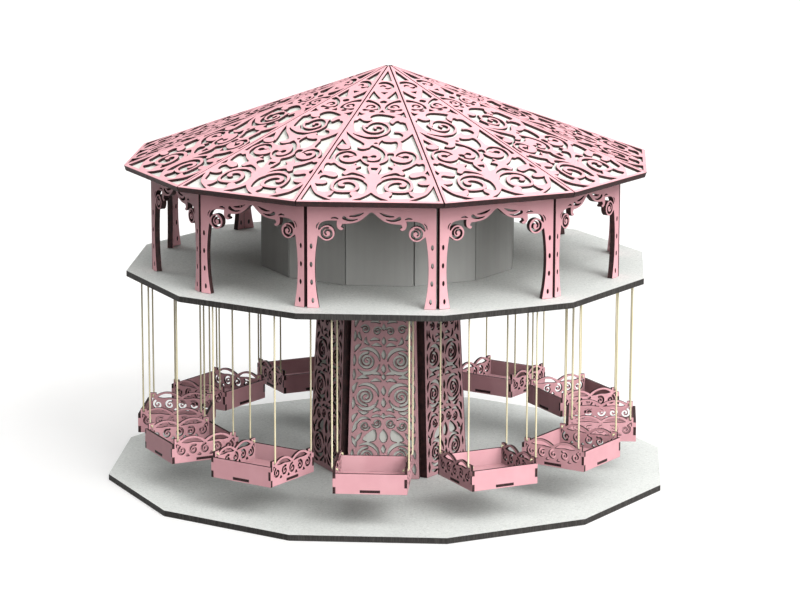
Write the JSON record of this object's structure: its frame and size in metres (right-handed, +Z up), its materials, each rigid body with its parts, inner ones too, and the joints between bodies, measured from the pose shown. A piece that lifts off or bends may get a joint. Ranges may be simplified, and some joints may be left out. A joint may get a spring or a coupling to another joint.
{
  "type": "model swing carousel",
  "caption": "Laser-cut board model of a swing carousel: two-tier twelve-sided stand with a scrollwork roof and arcade and open baskets hung on twine.",
  "frame": {"origin": "middle of the base plate's underside", "axes": "+Z up along the column's axis; one side of the twelve-sided base, and one basket, faces -Y"},
  "size_m": [0.5796, 0.5796, 0.4328],
  "materials": {
    "pale_board": "pale grey painted fibreboard, faintly speckled, with dark burnt cut edges",
    "grey_board": "plain grey painted fibreboard, matt",
    "pink_board": "pink painted fibreboard, matt, with dark burnt cut edges",
    "cream_board": "cream painted fibreboard behind pink scrollwork",
    "twine": "twisted straw-coloured twine"
  },
  "bodies": {
    "root": {"base_plate": "pale_board", "deck_plate": "pale_board", "drum": "grey_board", "column_panel_01": "pink_board", "column_panel_02": "pink_board", "column_panel_03": "pink_board", "column_panel_04": "pink_board", "column_panel_05": "pink_board", "column_panel_06": "pink_board", "arcade_panel_01": "pink_board", "arcade_panel_02": "pink_board", "arcade_panel_03": "pink_board", "arcade_panel_04": "pink_board", "arcade_panel_05": "pink_board", "arcade_panel_06": "pink_board", "arcade_panel_07": "pink_board", "arcade_panel_08": "pink_board", "arcade_panel_09": "pink_board", "arcade_panel_10": "pink_board", "arcade_panel_11": "pink_board", "arcade_panel_12": "pink_board", "roof_panel_01": "cream_board", "roof_panel_02": "cream_board", "roof_panel_03": "cream_board", "roof_panel_04": "cream_board", "roof_panel_05": "cream_board", "roof_panel_06": "cream_board", "roof_panel_07": "cream_board", "roof_panel_08": "cream_board", "roof_panel_09": "cream_board", "roof_panel_10": "cream_board", "roof_panel_11": "cream_board", "roof_panel_12": "cream_board", "basket_01": "pink_board", "basket_02": "pink_board", "basket_03": "pink_board", "basket_04": "pink_board", "basket_05": "pink_board", "basket_06": "pink_board", "basket_07": "pink_board", "basket_08": "pink_board", "basket_09": "pink_board", "basket_10": "pink_board", "basket_11": "pink_board", "basket_12": "pink_board"}
  },
  "joints": []
}
